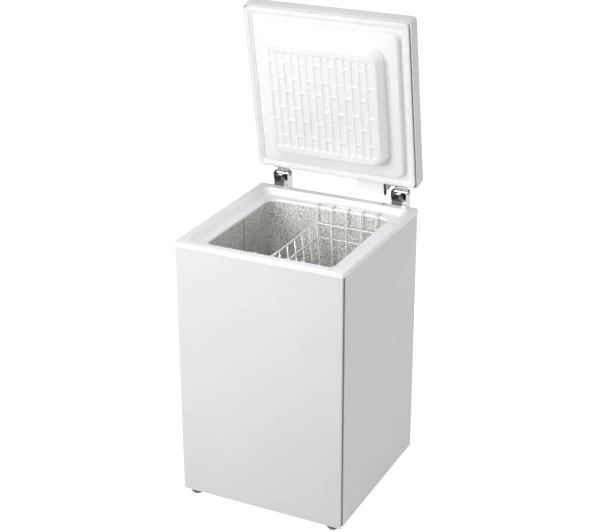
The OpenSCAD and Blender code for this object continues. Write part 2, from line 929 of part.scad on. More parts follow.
// Wires that rise from one end of the top ring and lie on the collar's ledge, with a rail along their tips.
// s is -1 for the front end, 1 for the back
module basket_hanger(s, z, y, count) {
    post_r = middle_wire_d / 2;
    arm_r = post_r - 0.2;
    rail_r = post_r + 0.3;
    x = basket_half(z);
    rest_z = ledge_z + rail_r + gap;
    reach = y + hook_reach;
    for (i = [0 : count]) {
        px = x * (2 * i / count - 1);
        bar([px, s * y, z], [px, s * y, rest_z + post_r], post_r);
        bar([px, s * y, rest_z], [px, s * reach, rest_z], arm_r);
    }
    bar([-x - post_r, s * reach, rest_z], [x + post_r, s * reach, rest_z], rail_r);
}

// Wire basket: a heavy top ring hung by its two ends, and a grid of thinner wires
module basket() {
    r = wire_d / 2;
    rt = thin_wire_d / 2;
    lap = 0.5 * rt;
    top = basket_top - r;
    low = basket_bottom + r;
    x0 = basket_half(top);
    x1 = basket_half(low);
    y = (basket_d - wire_d) / 2;
    across = round(basket_w / wire_pitch);
    along = round(basket_d / wire_pitch);
    color("white") at_cabinet() translate([basket_x, basket_y, 0]) {
        basket_ring(top, y, r);
        basket_ring(low, y, r);
        basket_ring(top - 45, y, middle_wire_d / 2);
        for (i = [1 : across - 1]) {
            t = 2 * i / across - 1;
            rod([[t * x0, -y, top], [t * x1, -y, low - lap], [t * x1, y, low - lap], [t * x0, y, top]], rt);
        }
        for (i = [1 : along - 1]) {
            t = 2 * i / along - 1;
            rod([[-x0, t * y, top], [-x1, t * y, low + lap], [x1, t * y, low + lap], [x0, t * y, top]], rt);
        }
        for (sx = [-1, 1], sy = [-1, 1])
            bar([sx * x0, sy * y, top], [sx * x1, sy * y, low], rt);
        for (s = [-1, 1])
            basket_hanger(s, top, y, across);
    }
}

front_panel();
left_panel();
right_panel();
rear_panel();
base_plate();
chamber_plate();
collar();
liner();
foam();
evaporator_tube();
condenser_tube();
compressor();
compressor_mounts();
relay_cover();
filter_drier();
refrigerant_pipes();
compressor_grille();
grille_screws();
thermostat();
thermostat_knob();
cable_gland();
drain_tube();
drain_plug();
foot(-1, -1);  // foot_front_left
foot(1, -1);  // foot_front_right
foot(-1, 1);  // foot_rear_left
foot(1, 1);  // foot_rear_right
hinge_housing(-1);  // hinge_housing_left
hinge_housing(1);  // hinge_housing_right
hinge_pin(-1);  // hinge_pin_left
hinge_pin(1);  // hinge_pin_right
hinge_plunger(-1);  // hinge_plunger_left
hinge_plunger(1);  // hinge_plunger_right
hinge_spring(-1);  // hinge_spring_left
hinge_spring(1);  // hinge_spring_right
housing_screws();
lid_bracket(-1);  // lid_bracket_left
lid_bracket(1);  // lid_bracket_right
bracket_screws();
lid_skin();
lid_foam();
lid_liner();
lid_gasket();
rear_tab();
rear_tab_buffer();
rear_tab_gusset();
basket();
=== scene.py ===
"""Small chest freezer with its lid open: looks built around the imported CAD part."""

import json
import math

import bmesh
import bpy
from mathutils import Matrix, Vector


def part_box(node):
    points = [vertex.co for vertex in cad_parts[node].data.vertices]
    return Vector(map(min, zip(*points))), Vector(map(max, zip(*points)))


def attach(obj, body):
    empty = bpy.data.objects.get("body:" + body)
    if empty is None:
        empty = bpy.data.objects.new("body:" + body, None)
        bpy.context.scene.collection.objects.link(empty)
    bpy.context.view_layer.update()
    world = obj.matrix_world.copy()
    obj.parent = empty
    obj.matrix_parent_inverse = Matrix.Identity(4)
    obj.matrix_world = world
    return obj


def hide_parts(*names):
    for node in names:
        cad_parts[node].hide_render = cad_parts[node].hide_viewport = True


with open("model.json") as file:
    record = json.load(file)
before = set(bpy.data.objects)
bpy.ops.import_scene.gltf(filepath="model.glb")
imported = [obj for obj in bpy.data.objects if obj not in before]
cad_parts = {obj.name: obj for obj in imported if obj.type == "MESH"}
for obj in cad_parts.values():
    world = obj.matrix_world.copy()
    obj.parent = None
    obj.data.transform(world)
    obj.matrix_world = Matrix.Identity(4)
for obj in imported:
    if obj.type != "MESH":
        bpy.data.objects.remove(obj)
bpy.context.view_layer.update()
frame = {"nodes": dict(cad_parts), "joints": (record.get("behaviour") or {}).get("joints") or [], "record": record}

MM = 0.001

# Sizes that the CAD gives
COLLAR_LOW, COLLAR_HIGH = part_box("collar")
CABINET_W = COLLAR_HIGH.x - COLLAR_LOW.x
CABINET_D = COLLAR_HIGH.y - COLLAR_LOW.y
CABINET_Y = (COLLAR_HIGH.y + COLLAR_LOW.y) / 2
RIM_Z = COLLAR_HIGH.z
LINER_TOP = COLLAR_LOW.z
JOINTS = {joint["name"]: joint for joint in frame["joints"]}
PIVOT = Vector(JOINTS["lid_hinge"]["pos_m"])
OPEN_ANGLE = math.radians(JOINTS["lid_hinge"]["range_deg"][1])

# Sizes of the collar, from its outside edge inwards
WALL = 64 * MM
LIP_H = 15 * MM
RIM_FLAT = 28 * MM
RECESS_H = 20 * MM
RECESS_SLOPE = 12 * MM
LINER_R = 30 * MM
LEDGE_Z = RIM_Z - RECESS_H

# Sizes of the closed lid
LID_W = CABINET_W
LID_D = 530 * MM
LID_Z = RIM_Z + 9 * MM
LID_T = 46 * MM
LID_TOP = LID_Z + LID_T
LID_Y = CABINET_Y - 7 * MM
STEP_H = 18 * MM
PLUG_H = 40 * MM
STEP_INSET = 35 * MM
PLUG_INSET = 80 * MM
RETURN_W = 5 * MM
# Inset of the inner moulding's edge in millimetres, and how far it sits towards the lid's front
GROOVE_INSET = 7.4
GROOVE_SHIFT = 1.7

# Turns a piece drawn on the closed lid to where the lid stands open
OPEN_LID = (
    Matrix.Translation(PIVOT)
    @ Matrix.Rotation(-OPEN_ANGLE, 4, "X")
    @ Matrix.Translation(-PIVOT)
)


# Camera and lights


def make_camera():
    """Long lens from the front right, above the lid's hinges: the photograph's view."""
    azimuth, elevation, roll = math.radians(26.157), math.radians(23.378), math.radians(-0.18)
    data = bpy.data.cameras.new("camera")
    data.sensor_width = 36
    data.lens = 86.3
    camera = bpy.data.objects.new("camera", data)
    turn = (
        Matrix.Rotation(azimuth, 4, "Z")
        @ Matrix.Rotation(math.pi / 2 - elevation, 4, "X")
        @ Matrix.Rotation(roll, 4, "Z")
    )
    place = (1.7065, -3.4883, 2.3659)
    camera.matrix_world = Matrix.Translation(place) @ turn
    bpy.context.scene.collection.objects.link(camera)
    bpy.context.scene.camera = camera


def make_light(name, place, target, size, power, spread=180, in_view=True):
    """Area light at a place, turned to its target. Sizes are in metres and the spread in degrees."""
    data = bpy.data.lights.new(name, "AREA")
    data.shape = "RECTANGLE"
    data.size, data.size_y = size
    data.energy = power
    data.spread = math.radians(spread)
    light = bpy.data.objects.new(name, data)
    light.location = place
    light.rotation_euler = (Vector(target) - Vector(place)).to_track_quat("-Z", "Y").to_euler()
    light.visible_camera = in_view
    bpy.context.scene.collection.objects.link(light)


def make_lights():
    """Soft boxes in front, above and to the right, and small strips over the lid and in the well."""
    make_light("key_light", (-0.9, -2.1, 1.5), (-0.1, -0.3, 0.7), (0.8, 0.8), 30.2)
    make_light("lid_light", (0.0, -1.3, 2.3), (0, 0.3, 1.1), (0.8, 0.5), 6.6)
    make_light("side_light", (3.6, 0.2, 1.5), (0, 0, 0.5), (2.0, 2.4), 31)
    make_light("edge_light", (0.0, 0.1, 1.9), (0, 0.2, 1.4), (0.5, 0.1), 0.52, in_view=False)
    well_place, well_target = (-0.08, -0.17, 0.768), (0.10, 0.20, 0.70)
    make_light("well_light", well_place, well_target, (0.22, 0.03), 0.2, 110, in_view=False)


# Materials


def add_node(tree, kind, settings=None, **inputs):
    """Adds a shader node. Each input is a plain value or another node's output socket."""
    made = tree.nodes.new(kind)
    for key, value in (settings or {}).items():
        setattr(made, key, value)
    for key, value in inputs.items():
        socket = made.inputs[key.replace("_", " ")]
        if isinstance(value, bpy.types.NodeSocket):
            tree.links.new(value, socket)
        else:
            socket.default_value = value
    return made


def object_coords(tree, stretch=(1, 1, 1)):
    """Places on the object in metres, stretched along each axis."""
    coords = add_node(tree, "ShaderNodeTexCoord").outputs["Object"]
    if stretch == (1, 1, 1):
        return coords
    return add_node(tree, "ShaderNodeMapping", Vector=coords, Scale=stretch).outputs[0]


def noise(tree, scale, detail=3.0, stretch=(1, 1, 1)):
    """Cloudy value from 0 to 1, with this many patches per metre."""
    made = add_node(
        tree, "ShaderNodeTexNoise",
        Vector=object_coords(tree, stretch), Scale=scale, Detail=detail,
    )
    return made.outputs["Fac"]


def spread(tree, value, low, high, start=0.3, end=0.7):
    """Maps a noise value between start and end to a number between low and high."""
    made = add_node(tree, "ShaderNodeMapRange", Value=value)
    for key, number in (("From Min", start), ("From Max", end), ("To Min", low), ("To Max", high)):
        made.inputs[key].default_value = number
    return made.outputs[0]


def mix_colours(tree, factor, first, second):
    """Colour between two others, each of them a plain colour or another node's output."""
    made = add_node(tree, "ShaderNodeMix", {"data_type": "RGBA"})
    tree.links.new(factor, made.inputs["Factor"])
    for socket, value in ((made.inputs[6], first), (made.inputs[7], second)):
        if isinstance(value, bpy.types.NodeSocket):
            tree.links.new(value, socket)
        else:
            socket.default_value = (*value, 1)
    return made.outputs[2]


def relief(tree, shader, layers):
    """Bump built from layers of (height, strength, depth in metres)."""
    normal = None
    for height, strength, depth in layers:
        made = add_node(tree, "ShaderNodeBump", Height=height, Strength=strength, Distance=depth)
        if normal is not None:
            tree.links.new(normal, made.inputs["Normal"])
        normal = made.outputs[0]
    tree.links.new(normal, shader.inputs["Normal"])


def blend_shaders(tree, factor, first, second, output):
    """Sends the first shader to the output, or the second one where the factor is 1."""
    blend = add_node(tree, "ShaderNodeMixShader", Fac=factor)
    tree.links.new(first.outputs[0], blend.inputs[1])
    tree.links.new(second.outputs[0], blend.inputs[2])
    tree.links.new(blend.outputs[0], output.inputs["Surface"])


def new_material(name, metallic=0.0, **constants):
    """Material with constants set on its shader: the material, its node tree and the shader."""
    made = bpy.data.materials.new(name)
    made.use_nodes = True
    shader = made.node_tree.nodes["Principled BSDF"]
    shader.inputs["Metallic"].default_value = metallic
    for key, value in constants.items():
        shader.inputs[key.replace("_", " ")].default_value = value
    return made, made.node_tree, shader


def coat_of_paint(name, light, dark, roughness):
    """Baked enamel on sheet steel: an even colour, orange peel and faint smears."""
    made, tree, shader = new_material(name, Specular_IOR_Level=0.25)
    broad = noise(tree, 3.5, 2)
    smear = noise(tree, 16, 4, (1, 1, 0.35))
    colour = mix_colours(tree, spread(tree, broad, 0, 1), light, dark)
    tree.links.new(colour, shader.inputs["Base Color"])
    gloss = spread(tree, smear, roughness - 0.05, roughness + 0.08)
    tree.links.new(gloss, shader.inputs["Roughness"])
    relief(tree, shader, [(noise(tree, 420, 2), 0.06, 0.4 * MM), (noise(tree, 9, 2), 0.05, 1.5 * MM)])
    return made


def moulded_plastic(name, light, dark, roughness, grain=900.0, depth=0.1 * MM, strength=0.12):
    """Moulded plastic: slight flow marks, uneven gloss, a fine grain and faint sink marks."""
    made, tree, shader = new_material(name)
    flow = noise(tree, 7, 3)
    colour = mix_colours(tree, spread(tree, flow, 0, 1), light, dark)
    tree.links.new(colour, shader.inputs["Base Color"])
    gloss = spread(tree, noise(tree, 30, 4), roughness - 0.03, roughness + 0.04)
    tree.links.new(gloss, shader.inputs["Roughness"])
    sink_marks = (noise(tree, 12, 1), 0.03, 0.8 * MM)
    relief(tree, shader, [(noise(tree, grain, 3), strength, depth), sink_marks])
    return made


def stucco_aluminium():
    """Embossed aluminium sheet: small irregular pillows, with painted highlight on their tops and painted shade in
    their hollows.
    """
    made, tree, shader = new_material("stucco_aluminium", metallic=0.65)
    coords = object_coords(tree)
    wander = add_node(tree, "ShaderNodeTexNoise", Vector=coords, Scale=160.0, Detail=2.0)
    shift = add_node(tree, "ShaderNodeMix", {"data_type": "VECTOR"})
    shift.inputs["Factor"].default_value = 0.007
    tree.links.new(coords, shift.inputs[4])
    tree.links.new(wander.outputs["Color"], shift.inputs[5])
    pillows = add_node(
        tree, "ShaderNodeTexVoronoi", {"feature": "SMOOTH_F1"},
        Vector=shift.outputs[1], Scale=270.0, Smoothness=0.15,
    ).outputs["Distance"]
    fine = noise(tree, 700, 3)
    height = spread(tree, pillows, 1, 0, 0.2, 0.85)
    # The colour follows the bump's height: the darker colour in the hollows is painted shade and the lighter one
    # on the tops is painted highlight.
    hollow_shade, bright = (0.44, 0.43, 0.41), (0.9, 0.89, 0.87)
    painted_light_speckle = mix_colours(tree, spread(tree, height, 0, 1, 0.18, 0.6), hollow_shade, bright)
    cloud = mix_colours(tree, spread(tree, noise(tree, 12, 3), 0, 1), (1, 1, 1), (0.9, 0.89, 0.88))
    colour = add_node(tree, "ShaderNodeMix", {"data_type": "RGBA", "blend_type": "MULTIPLY"})
    colour.inputs["Factor"].default_value = 1
    tree.links.new(painted_light_speckle, colour.inputs[6])
    tree.links.new(cloud, colour.inputs[7])
    tree.links.new(colour.outputs[2], shader.inputs["Base Color"])
    tree.links.new(spread(tree, height, 0.5, 0.3, 0.2, 0.9), shader.inputs["Roughness"])
    relief(tree, shader, [(height, 1.0, 1.3 * MM), (fine, 0.2, 0.1 * MM)])
    return made


def galvanised_steel():
    """Zinc-coated sheet with a spangle of slightly different greys."""
    made, tree, shader = new_material("galvanised_steel", metallic=0.85)
    spangle = add_node(
        tree, "ShaderNodeTexVoronoi", Vector=object_coords(tree), Scale=130.0, Randomness=1.0
    ).outputs["Color"]
    tone = spread(tree, spangle, 0, 1, 0.1, 0.9)
    stain = noise(tree, 24, 4)
    colour = mix_colours(tree, tone, (0.46, 0.47, 0.48), (0.6, 0.61, 0.62))
    tree.links.new(colour, shader.inputs["Base Color"])
    tree.links.new(spread(tree, stain, 0.32, 0.55), shader.inputs["Roughness"])
    relief(tree, shader, [(tone, 0.1, 0.1 * MM), (noise(tree, 400, 2), 0.06, 0.1 * MM)])
    return made


def bare_metal(name, light, dark, roughness, stretch=(1, 1, 1), scratch=0.08):
    """Plated or drawn metal: fine marks that run along one axis, and duller patches."""
    made, tree, shader = new_material(name, metallic=1.0)
    marks = noise(tree, 260, 4, stretch)
    patches = noise(tree, 35, 3)
    colour = mix_colours(tree, spread(tree, patches, 0, 1), light, dark)
    tree.links.new(colour, shader.inputs["Base Color"])
    tree.links.new(spread(tree, marks, roughness * 0.8, roughness * 1.6), shader.inputs["Roughness"])
    relief(tree, shader, [(marks, scratch, 0.1 * MM)])
    return made


def rigid_foam():
    """Blown insulation: a cellular surface with broad stains."""
    made, tree, shader = new_material("foam", Roughness=0.9)
    coords = object_coords(tree)
    cells = add_node(tree, "ShaderNodeTexVoronoi", Vector=coords, Scale=420.0).outputs["Distance"]
    stain = noise(tree, 14, 4)
    colour = mix_colours(tree, spread(tree, stain, 0, 1), (0.83, 0.74, 0.47), (0.7, 0.56, 0.3))
    tree.links.new(colour, shader.inputs["Base Color"])
    relief(tree, shader, [(cells, 0.4, 0.4 * MM), (noise(tree, 60, 3), 0.3, 1.2 * MM)])
    return made


def soft_rubber(name, light, dark, roughness):
    """Rubber or soft vinyl: dusty patches and a fine skin."""
    made, tree, shader = new_material(name)
    dust = noise(tree, 45, 5)
    colour = mix_colours(tree, spread(tree, dust, 0, 1, 0.35, 0.75), light, dark)
    tree.links.new(colour, shader.inputs["Base Color"])
    tree.links.new(spread(tree, dust, roughness, roughness + 0.15), shader.inputs["Roughness"])
    relief(tree, shader, [(noise(tree, 700, 3), 0.15, 0.1 * MM)])
    return made


def make_materials():
    """Every material, by the name of its slot."""
    # Grains per metre, and the depth and strength of their bump
    coarse_grain = (650.0, 0.2 * MM, 0.3)
    return {
        "white_paint": coat_of_paint("white_paint", (0.77, 0.77, 0.763), (0.75, 0.75, 0.743), 0.34),
        "grey_steel": coat_of_paint("grey_steel", (0.5, 0.51, 0.52), (0.46, 0.47, 0.48), 0.4),
        "black_paint": coat_of_paint("black_paint", (0.02, 0.02, 0.021), (0.035, 0.035, 0.036), 0.25),
        "white_plastic": moulded_plastic(
            "white_plastic", (0.925, 0.935, 0.945), (0.91, 0.92, 0.935), 0.3),
        "black_plastic": moulded_plastic(
            "black_plastic", (0.03, 0.03, 0.032), (0.045, 0.045, 0.047), 0.5, *coarse_grain),
        "dark_grey_plastic": moulded_plastic(
            "dark_grey_plastic", (0.13, 0.13, 0.135), (0.18, 0.18, 0.185), 0.45, *coarse_grain),
        "coated_wire": moulded_plastic(
            "coated_wire", (0.9, 0.9, 0.89), (0.84, 0.84, 0.82), 0.22, 300.0),
        "stucco_aluminium": stucco_aluminium(),
        "galvanised_steel": galvanised_steel(),
        "hinge_chrome": bare_metal(
            "hinge_chrome", (0.62, 0.62, 0.62), (0.55, 0.55, 0.545), 0.2, (1, 1, 0.1), 0.02),
        "spring_steel": bare_metal("spring_steel", (0.48, 0.47, 0.46), (0.36, 0.35, 0.33), 0.32),
        "copper": bare_metal("copper", (0.75, 0.42, 0.27), (0.5, 0.26, 0.17), 0.3),
        "foam": rigid_foam(),
        "rubber": soft_rubber("rubber", (0.025, 0.025, 0.025), (0.06, 0.058, 0.055), 0.7),
        "gasket": soft_rubber("gasket", (0.91, 0.915, 0.92), (0.87, 0.875, 0.88), 0.5),
    }


# Surroundings


def make_world():
    """Even room light, a little darker from below, in front of a white backdrop."""
    world = bpy.data.worlds.new("studio")
    world.use_nodes = True
    tree = world.node_tree
    room = tree.nodes["Background"]
    room.inputs["Strength"].default_value = 0.5
    coords = add_node(tree, "ShaderNodeTexCoord").outputs["Generated"]
    split = add_node(tree, "ShaderNodeSeparateXYZ", Vector=coords)
    ramp = add_node(tree, "ShaderNodeValToRGB", Fac=split.outputs["Z"])
    low, high = ramp.color_ramp.elements
    low.position, low.color = 0.0, (0.42, 0.42, 0.43, 1)
    high.position, high.color = 0.5, (1, 1, 1, 1)
    tree.links.new(ramp.outputs[0], room.inputs["Color"])
    # The backdrop behind the floor looks white, and doesn't light anything
    backdrop = add_node(tree, "ShaderNodeBackground", Color=(1, 1, 1, 1), Strength=1.0)
    ray = add_node(tree, "ShaderNodeLightPath")
    blend_shaders(tree, ray.outputs["Is Camera Ray"], room, backdrop, tree.nodes["World Output"])
    bpy.context.scene.world = world
    bpy.context.scene.view_settings.view_transform = "Standard"


def make_floor():
    """Pale floor that looks evenly bright, also in the metal, and throws little light upwards."""
    size = 40.0
    mesh = bpy.data.meshes.new("floor")
    corners = [(-size, -size, 0), (size, -size, 0), (size, size, 0), (-size, size, 0)]
    mesh.from_pydata(corners, [], [(0, 1, 2, 3)])
    material, tree, shader = new_material("pale_floor", Roughness=0.8, Specular_IOR_Level=0.1)
    patches = spread(tree, noise(tree, 1.5, 2), 0, 1)
    tone = mix_colours(tree, patches, (0.5, 0.5, 0.5), (0.52, 0.52, 0.52))
    tree.links.new(tone, shader.inputs["Base Color"])
    glow = add_node(tree, "ShaderNodeEmission", Color=(1, 1, 1, 1), Strength=0.85)
    both = add_node(tree, "ShaderNodeAddShader")
    tree.links.new(shader.outputs[0], both.inputs[0])
    tree.links.new(glow.outputs[0], both.inputs[1])
    ray = add_node(tree, "ShaderNodeLightPath")
    blend_shaders(tree, ray.outputs["Is Diffuse Ray"], both, shader, tree.nodes["Material Output"])
    mesh.materials.append(material)
    floor = bpy.data.objects.new("floor", mesh)
    bpy.context.scene.collection.objects.link(floor)


# Mesh building


def to_mesh(name, points, faces, body, material, matrix=None, crease=35):
    """Makes a smooth-shaded piece of a body, with hard edges only where its faces turn sharply."""
    mesh = bpy.data.meshes.new(name)
    if matrix is not None:
        points = [matrix @ Vector(p) for p in points]
    mesh.from_pydata(points, [], faces)
    made = bmesh.new()
    made.from_mesh(mesh)
    bmesh.ops.remove_doubles(made, verts=made.verts, dist=1e-6)
    bmesh.ops.recalc_face_normals(made, faces=made.faces)
    made.to_mesh(mesh)
    made.free()
    mesh.polygons.foreach_set("use_smooth", [True] * len(mesh.polygons))
    mesh.set_sharp_from_angle(angle=math.radians(crease))
    mesh.materials.append(MATERIALS[material])
    piece = bpy.data.objects.new(name, mesh)
    bpy.context.scene.collection.objects.link(piece)
    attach(piece, body)
    return piece


def join_rings(rings, closed=False, caps=(False, False)):
    """Faces between rings of equal length. closed joins the last ring to the first."""
    count = len(rings[0])
    points = [p for ring in rings for p in ring]
    faces = []
    spans = len(rings) if closed else len(rings) - 1
    for i in range(spans):
        a, b = i * count, ((i + 1) % len(rings)) * count
        for j in range(count):
            k = (j + 1) % count
            faces.append((a + j, a + k, b + k, b + j))
    if caps[0]:
        faces.append(tuple(range(count)))
    if caps[1]:
        faces.append(tuple(range(len(points) - count, len(points))))
    return points, faces


def rounded_ring(w, d, r, z, centre_y, steps=12):
    """Level ring of points round a rectangle with rounded corners, centred on x = 0."""
    ring = []
    for sx, sy, start in ((1, 1, 0), (-1, 1, 90), (-1, -1, 180), (1, -1, 270)):
        for i in range(steps + 1):
            a = math.radians(start + 90 * i / steps)
            ring.append((
                sx * (w / 2 - r) + r * math.cos(a),
                centre_y + sy * (d / 2 - r) + r * math.sin(a),
                z,
            ))
    return ring


def arc(inset, z, r, start, end, steps=6):
    """Points (inset, z) on an arc about a centre, from start to end in degrees."""
    return [
        (inset + r * math.cos(math.radians(a)), z + r * math.sin(math.radians(a)))
        for a in (start + (end - start) * i / steps for i in range(steps + 1))
    ]


def turned(profile, centre, axis="Z", steps=40):
    """Rings of a turned shape whose profile is (radius, distance along the axis)."""
    rings = []
    for radius, along in profile:
        ring = []
        for i in range(steps):
            a = 2 * math.pi * i / steps
            u, v = radius * math.cos(a), radius * math.sin(a)
            offset = {"X": (along, u, v), "Y": (v, along, u), "Z": (u, v, along)}[axis]
            ring.append(tuple(Vector(centre) + Vector(offset)))
        rings.append(ring)
    return rings


# Collar


def make_collar():
    """Stepped frame round the opening, with soft edges where the moulding has them."""
    soft = 2.5 * MM
    lip_z = RIM_Z - LIP_H
    # Each point: inset from the collar's edge and z
    profile = [(9 * MM, LINER_TOP), (9 * MM, lip_z + 1 * MM), (3 * MM, lip_z + 1 * MM)]
    profile += [(3 * MM, lip_z), (0.6 * MM, lip_z), (0, lip_z + 0.6 * MM)]
    profile += arc(soft, RIM_Z - soft, soft, 180, 90)
    profile += arc(RIM_FLAT - soft, RIM_Z - soft, soft, 90, 30)
    profile += [
        (RIM_FLAT + RECESS_SLOPE - 2.5 * MM, LEDGE_Z + 3.6 * MM),
        (RIM_FLAT + RECESS_SLOPE - 1 * MM, LEDGE_Z + 1.2 * MM),
        (RIM_FLAT + RECESS_SLOPE + 1.6 * MM, LEDGE_Z),
    ]
    profile += arc(WALL - soft, LEDGE_Z - soft, soft, 90, 0)
    profile += [(WALL, LINER_TOP)]
    rings = []
    for inset, z in profile:
        share = min(1, max(0, (inset - 2 * MM) / (WALL - 2 * MM)))
        radius = 6 * MM + (LINER_R - 6 * MM) * min(1, 1.25 * share)
        rings.append(rounded_ring(CABINET_W - 2 * inset, CABINET_D - 2 * inset, radius, z, CABINET_Y))
    points, faces = join_rings(rings, closed=True)
    piece = to_mesh("collar_moulding", points, faces, "cabinet", "white_plastic")
    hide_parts("collar")


def make_collar_plug():
    """Small dark plug in the hole at the back of the collar."""
    plug_x, plug_inset = 155 * MM, 12 * MM
    centre = (plug_x, COLLAR_HIGH.y - plug_inset, RIM_Z)
    # Each point: radius and height above the collar's top, in millimetres
    profile = [(0.01, -4), (2.3, -4), (2.4, 0.1), (4.2, 0.1), (4.0, 0.8), (3.0, 1.2), (1.2, 1.2)]
    profile += [(0.9, 0.5), (0.01, 0.4)]
    rings = turned([(r * MM, z * MM) for r, z in profile], centre, steps=24)
    points, faces = join_rings(rings, caps=(True, True))
    to_mesh("collar_plug", points, faces, "cabinet", "dark_grey_plastic")


# Lid


def smooth(t):
    """Eases from 0 to 1 as t goes from 0 to 1."""
    t = min(1, max(0, t))
    return t * t * (3 - 2 * t)


# Pressed channels in the plug: 14 columns, whose breaks are staggered from one column to the next
COLUMNS = 14
COLUMN_PITCH = 23.6 * MM
CHANNEL_W = 19.5 * MM
CHANNEL_R = 7 * MM
CHANNEL_DEPTH = 2.7 * MM
CHANNEL_EDGE = 3.2 * MM
BREAK = 4.4 * MM
BREAKS = ([-130, -36.5, 57], [-77.5, 15.5, 107.5])
CHANNELS_FRONT, CHANNELS_BACK = -165, 149


def column_channels(column):
    """(low y, high y) of each channel of a column, measured from the middle of the cabinet."""
    ends = [CHANNELS_FRONT, *BREAKS[column % 2], CHANNELS_BACK]
    return [
        (ends[i] * MM + BREAK / 2, ends[i + 1] * MM - BREAK / 2)
        for i in range(len(ends) - 1)
    ]


CHANNELS = [column_channels(column) for column in range(COLUMNS)]


def channel_depth(x, y):
    """How deep the pressed pattern is at a place on the plug's face."""
    place = x / COLUMN_PITCH + COLUMNS / 2
    column = int(math.floor(place))
    if column < 0 or column >= COLUMNS:
        return 0
    off_x = abs(place - column - 0.5) * COLUMN_PITCH
    nearest = 1.0
    for low, high in CHANNELS[column]:
        off_y = abs(y - (low + high) / 2)
        px = off_x - (CHANNEL_W / 2 - CHANNEL_R)
        py = off_y - ((high - low) / 2 - CHANNEL_R)
        outside = math.hypot(max(px, 0), max(py, 0)) + min(max(px, py), 0) - CHANNEL_R
        nearest = min(nearest, outside)
    return CHANNEL_DEPTH * smooth(-nearest / CHANNEL_EDGE)


def perimeter_ring(w, d, r, z, counts, centre_y):
    """Ring round a rounded rectangle, with as many points as a grid of squares has on its edge."""
    nx, ny = counts
    ring = []
    for side, n in ((0, nx), (1, ny), (2, nx), (3, ny)):
        long = (w if side % 2 == 0 else d) - 2 * r
        across = (d if side % 2 == 0 else w) / 2
        quarter = math.pi * r / 4
        whole = long + 2 * quarter
        for i in range(n):
            run = whole * i / n - quarter
            if run < 0:
                a = -run / r
                along, out = -long / 2 - r * math.sin(a), across - r + r * math.cos(a)
            elif run > long:
                a = (run - long) / r
                along, out = long / 2 + r * math.sin(a), across - r + r * math.cos(a)
            else:
                along, out = run - long / 2, across
            x, y = ((along, -out), (out, along), (-along, out), (-out, -along))[side]
            ring.append((x, y + centre_y, z))
    return ring


def make_lid_liner():
    """Inner moulding of the lid: a border, a step and a drafted plug with pressed channels."""
    counts = (172, 160)
    # The ridges between the channels stand a little proud of the plug
    face_z = LID_Z - STEP_H - PLUG_H - 1 * MM
    soft = 4 * MM
    step_z = LID_Z - STEP_H
    # Each row: inset from the lid's edge and z in metres, corner radius in millimetres
    rows = [(GROOVE_INSET * MM, LID_Z + 2 * MM, 8), (GROOVE_INSET * MM, LID_Z, 8)]
    rows += [(STEP_INSET - 5 * MM, LID_Z, 20), (STEP_INSET - 1.5 * MM, LID_Z - 0.6 * MM, 23)]
    rows += [(STEP_INSET + 0.5 * MM, LID_Z - 3 * MM, 24)]
    rows += [(i + 4 * MM, z, 24) for i, z in arc(STEP_INSET + soft, step_z + soft, soft, 180, 270)]
    plug_foot = [(PLUG_INSET - 3 * MM, step_z, 36), (PLUG_INSET - 1 * MM, step_z - 0.5 * MM, 36)]
    rows += plug_foot + [(PLUG_INSET, step_z - 2 * MM, 35)]
    plug_soft = 5 * MM
    draft = 8 * MM
    bend = arc(PLUG_INSET + draft + plug_soft * 0.9, face_z + plug_soft, plug_soft, 190, 270)
    rows += [(i, z, 34) for i, z in bend]
    rings = []
    for i, z, r in rows:
        middle = LID_Y - (GROOVE_SHIFT * MM if i == GROOVE_INSET * MM else 0)
        rings.append(perimeter_ring(LID_W - 2 * i, LID_D - 2 * i, r * MM, z, counts, middle))
    grid_inset = PLUG_INSET + 16.5 * MM
    grid_w = LID_W - 2 * grid_inset
    grid_d = LID_D - 2 * grid_inset
    inset_rings = [(0.35, 30), (0.7, 22)]
    last_inset = rows[-1][0]
    for share, r in inset_rings:
        i = last_inset + (grid_inset - last_inset) * share
        rings.append(perimeter_ring(LID_W - 2 * i, LID_D - 2 * i, r * MM, face_z, counts, LID_Y))
    points, faces = join_rings(rings)
    ring_start = len(points) - len(rings[0])
    nx, ny = counts
    corner_r = 12 * MM
    margin = 3 * corner_r
    grid_start = len(points)
    for j in range(ny + 1):
        for i in range(nx + 1):
            u, v = 2 * i / nx - 1, 2 * j / ny - 1
            x, y = u * grid_w / 2, v * grid_d / 2
            # Rounds the grid's corners: a point near a corner slides in along the diagonal
            near_x = max(0, abs(x) - grid_w / 2 + margin) / margin
            near_y = max(0, abs(y) - grid_d / 2 + margin) / margin
            pull = near_x * near_y * corner_r * 0.42
            x -= math.copysign(pull, x)
            y -= math.copysign(pull, y)
            sink = channel_depth(x, y + LID_Y - CABINET_Y)
            points.append((x, y + LID_Y, face_z + sink))
    for j in range(ny):
        for i in range(nx):
            a = grid_start + j * (nx + 1) + i
            faces.append((a, a + 1, a + nx + 2, a + nx + 1))
    # Joins the last ring to the grid's edge, walking round it the same way
    edge = [grid_start + i for i in range(nx)]
    edge += [grid_start + j * (nx + 1) + nx for j in range(ny)]
    edge += [grid_start + ny * (nx + 1) + nx - i for i in range(nx)]
    edge += [grid_start + (ny - j) * (nx + 1) for j in range(ny)]
    count = len(edge)
    for k in range(count):
        m = (k + 1) % count
        faces.append((ring_start + k, ring_start + m, edge[m], edge[k]))
    piece = to_mesh("lid_inner_moulding", points, faces, "lid", "white_plastic", OPEN_LID)
    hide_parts("lid_liner")


